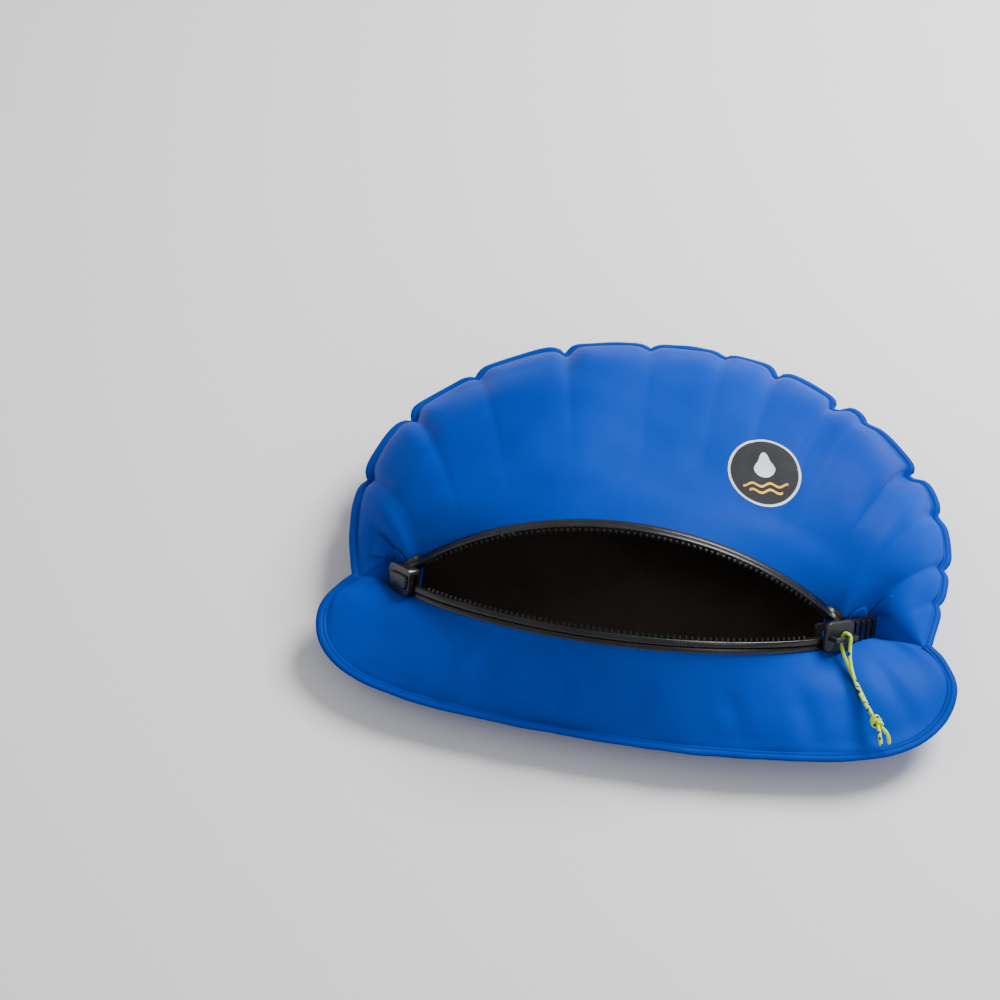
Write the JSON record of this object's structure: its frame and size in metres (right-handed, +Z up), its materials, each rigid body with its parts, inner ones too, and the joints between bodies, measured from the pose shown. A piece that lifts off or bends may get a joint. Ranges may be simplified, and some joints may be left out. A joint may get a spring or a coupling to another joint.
{
  "type": "dry bag",
  "caption": "Pillow-shaped waterproof bag of welded coated fabric, lying open, with a curved airtight zip, a slider that parks in a docking end, and a cord pull.",
  "frame": {"origin": "bottom centre of the bag's box, on the surface that it lies on", "axes": "+X along the zip from its docking end to its open end, -Y to the front where the mouth looks, +Z up"},
  "size_m": [0.529, 0.4001, 0.1364],
  "materials": {
    "coated_fabric": "satin",
    "zip_tape": "matte",
    "zip_moulding": "gloss",
    "zip_teeth": "satin",
    "seal_rubber": "matte",
    "slider_plastic": "satin",
    "pull_cord": "matte"
  },
  "bodies": {
    "root": {"base_panel": "coated_fabric", "front_panel": "coated_fabric", "upper_panel": "coated_fabric", "back_under_panel": "coated_fabric", "front_weld": "coated_fabric", "back_weld": "coated_fabric", "lower_zip_rail": "zip_moulding", "lower_zip_teeth": "zip_teeth", "lower_zip_tape": "zip_tape", "lower_lip_panel": "coated_fabric", "docking_end": "zip_moulding", "dock_seal": "seal_rubber", "start_plate": "zip_moulding", "start_plate_ribs": "zip_moulding", "zip_patch_left": "coated_fabric", "zip_patch_right": "coated_fabric"},
    "upper_lip": {"upper_zip_rail": "zip_moulding", "upper_zip_teeth": "zip_teeth", "upper_zip_tape": "zip_tape", "upper_lip_panel": "coated_fabric"},
    "slider": {"slider_body": "slider_plastic", "slider_underside": "slider_plastic", "slider_bridge": "slider_plastic"},
    "pull_cord": {"pull_cord_front": "pull_cord", "pull_cord_back": "pull_cord", "cord_tail_left": "pull_cord", "cord_tail_right": "pull_cord", "pull_knot": "pull_cord"}
  },
  "joints": [
    {"name": "slider_travel", "type": "hinge", "parent": "root", "child": "slider", "pos_m": [-0.014, 0.05974, -0.05106], "axis": [0, -0.6018, -0.7986], "range_deg": [0, 82]},
    {"name": "mouth_close", "type": "hinge", "parent": "root", "child": "upper_lip", "pos_m": [-0.014, -0.081, 0.055], "axis": [1, 0, 0], "range_deg": [0, 63]},
    {"name": "pull_swing", "type": "hinge", "parent": "slider", "child": "pull_cord", "pos_m": [0.17483, -0.09642, 0.06662], "axis": [-0.7193, -0.5548, 0.4181], "range_deg": [0, 60]}
  ],
  "couplings": [
    {"joint": "mouth_close", "follows": "slider_travel", "ratio": 0.768}
  ]
}
